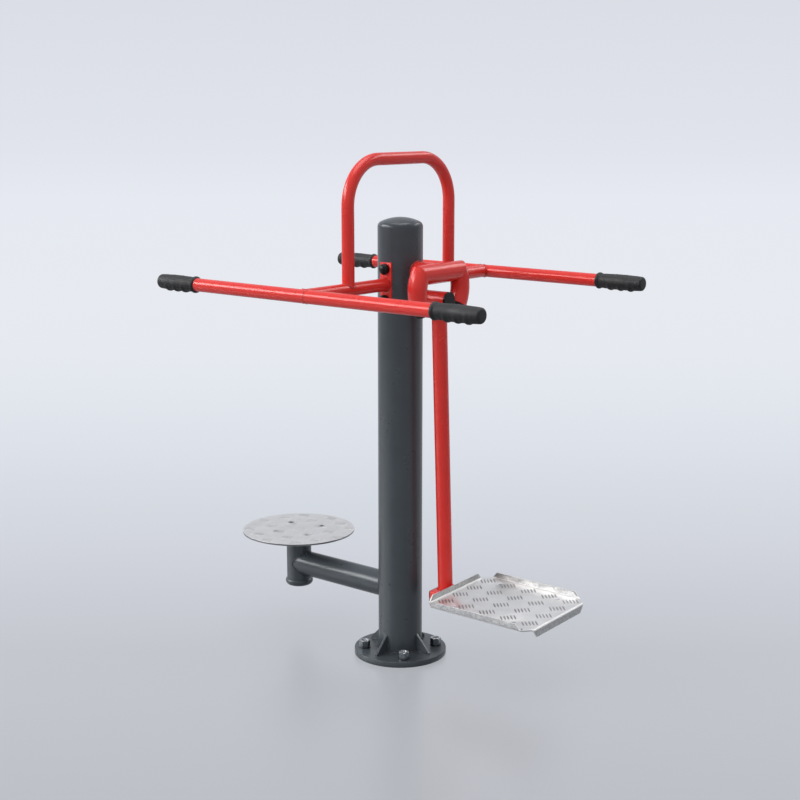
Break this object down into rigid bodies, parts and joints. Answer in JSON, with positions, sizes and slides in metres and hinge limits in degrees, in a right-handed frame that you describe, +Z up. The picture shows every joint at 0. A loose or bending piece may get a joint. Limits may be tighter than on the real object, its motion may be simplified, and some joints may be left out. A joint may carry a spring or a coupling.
{
  "type": "outdoor twister and surfer",
  "caption": "Outdoor gym post with a twisting turntable disc on one side, a swinging footplate on the other, two T-shaped handlebars and a top loop to hold.",
  "frame": {"origin": "on the ground at the centre of the base flange, which is also the post's axis", "axes": "+Z up along the post; the turntable lies toward -X and the footplate toward +X; the front handlebar is at -Y and the rear one at +Y"},
  "size_m": [1.2804, 0.9312, 1.596],
  "materials": {
    "grey_paint": "satin powder coat, dark grey",
    "red_paint": "gloss powder coat, red",
    "black_rubber": "matt moulded rubber",
    "black_plastic": "matt moulded plastic",
    "zinc_steel": "zinc plated",
    "bearing_steel": "ground bearing steel",
    "tread_aluminium": "bright rolled tread plate"
  },
  "bodies": {
    "frame": {"base_flange": "grey_paint", "base_gussets": "grey_paint", "anchor_washers": "zinc_steel", "anchor_nuts": "zinc_steel", "post_tube": "grey_paint", "post_cap": "grey_paint", "twister_arm": "grey_paint", "twister_sleeve": "grey_paint", "sleeve_bottom_cap": "grey_paint", "twister_bearing_outers": "bearing_steel", "twister_outer_spacer": "zinc_steel", "twister_circlips": "zinc_steel", "front_saddle": "red_paint", "rear_saddle": "red_paint", "front_stem": "red_paint", "rear_stem": "red_paint", "front_bar_left": "red_paint", "front_bar_right": "red_paint", "rear_bar_left": "red_paint", "rear_bar_right": "red_paint", "top_loop": "red_paint", "front_left_grip": "black_rubber", "front_right_grip": "black_rubber", "rear_left_grip": "black_rubber", "rear_right_grip": "black_rubber", "handle_bolts": "zinc_steel", "handle_nuts": "zinc_steel", "handle_bolt_washers": "zinc_steel", "handle_bolt_caps": "black_plastic", "bow_arm": "red_paint", "bow_top": "red_paint", "bow_front_side": "red_paint", "bow_rear_side": "red_paint", "bow_bumpers": "black_rubber", "axle_boss": "grey_paint", "pendulum_axle": "zinc_steel", "axle_bearing_inners": "bearing_steel", "axle_inner_spacer": "zinc_steel", "axle_washer": "zinc_steel", "axle_nut": "zinc_steel"},
    "turntable": {"twister_disc": "tread_aluminium", "turntable_hub": "zinc_steel", "disc_screws": "zinc_steel", "twister_bearing_inners": "bearing_steel", "spindle_spacer": "zinc_steel", "spindle_washer": "zinc_steel", "spindle_nut": "zinc_steel"},
    "pendulum": {"pendulum_hub": "red_paint", "pendulum_hub_cap": "black_plastic", "pendulum_bearing_outers": "bearing_steel", "pendulum_outer_spacer": "zinc_steel", "pendulum_leg": "red_paint", "step_beam": "red_paint", "step_beam_plugs": "black_plastic", "step_outriggers": "red_paint", "footplate": "tread_aluminium", "step_screws": "zinc_steel", "step_nuts": "zinc_steel"}
  },
  "joints": [
    {"name": "twister_turn", "type": "hinge", "parent": "frame", "child": "turntable", "pos_m": [-0.446, 0, 0.33], "axis": [0, 0, 1], "continuous": true},
    {"name": "surfer_swing", "type": "hinge", "parent": "frame", "child": "pendulum", "pos_m": [0.152, 0, 1.157], "axis": [1, 0, 0], "range_deg": [-48.5, 43.5]}
  ]
}
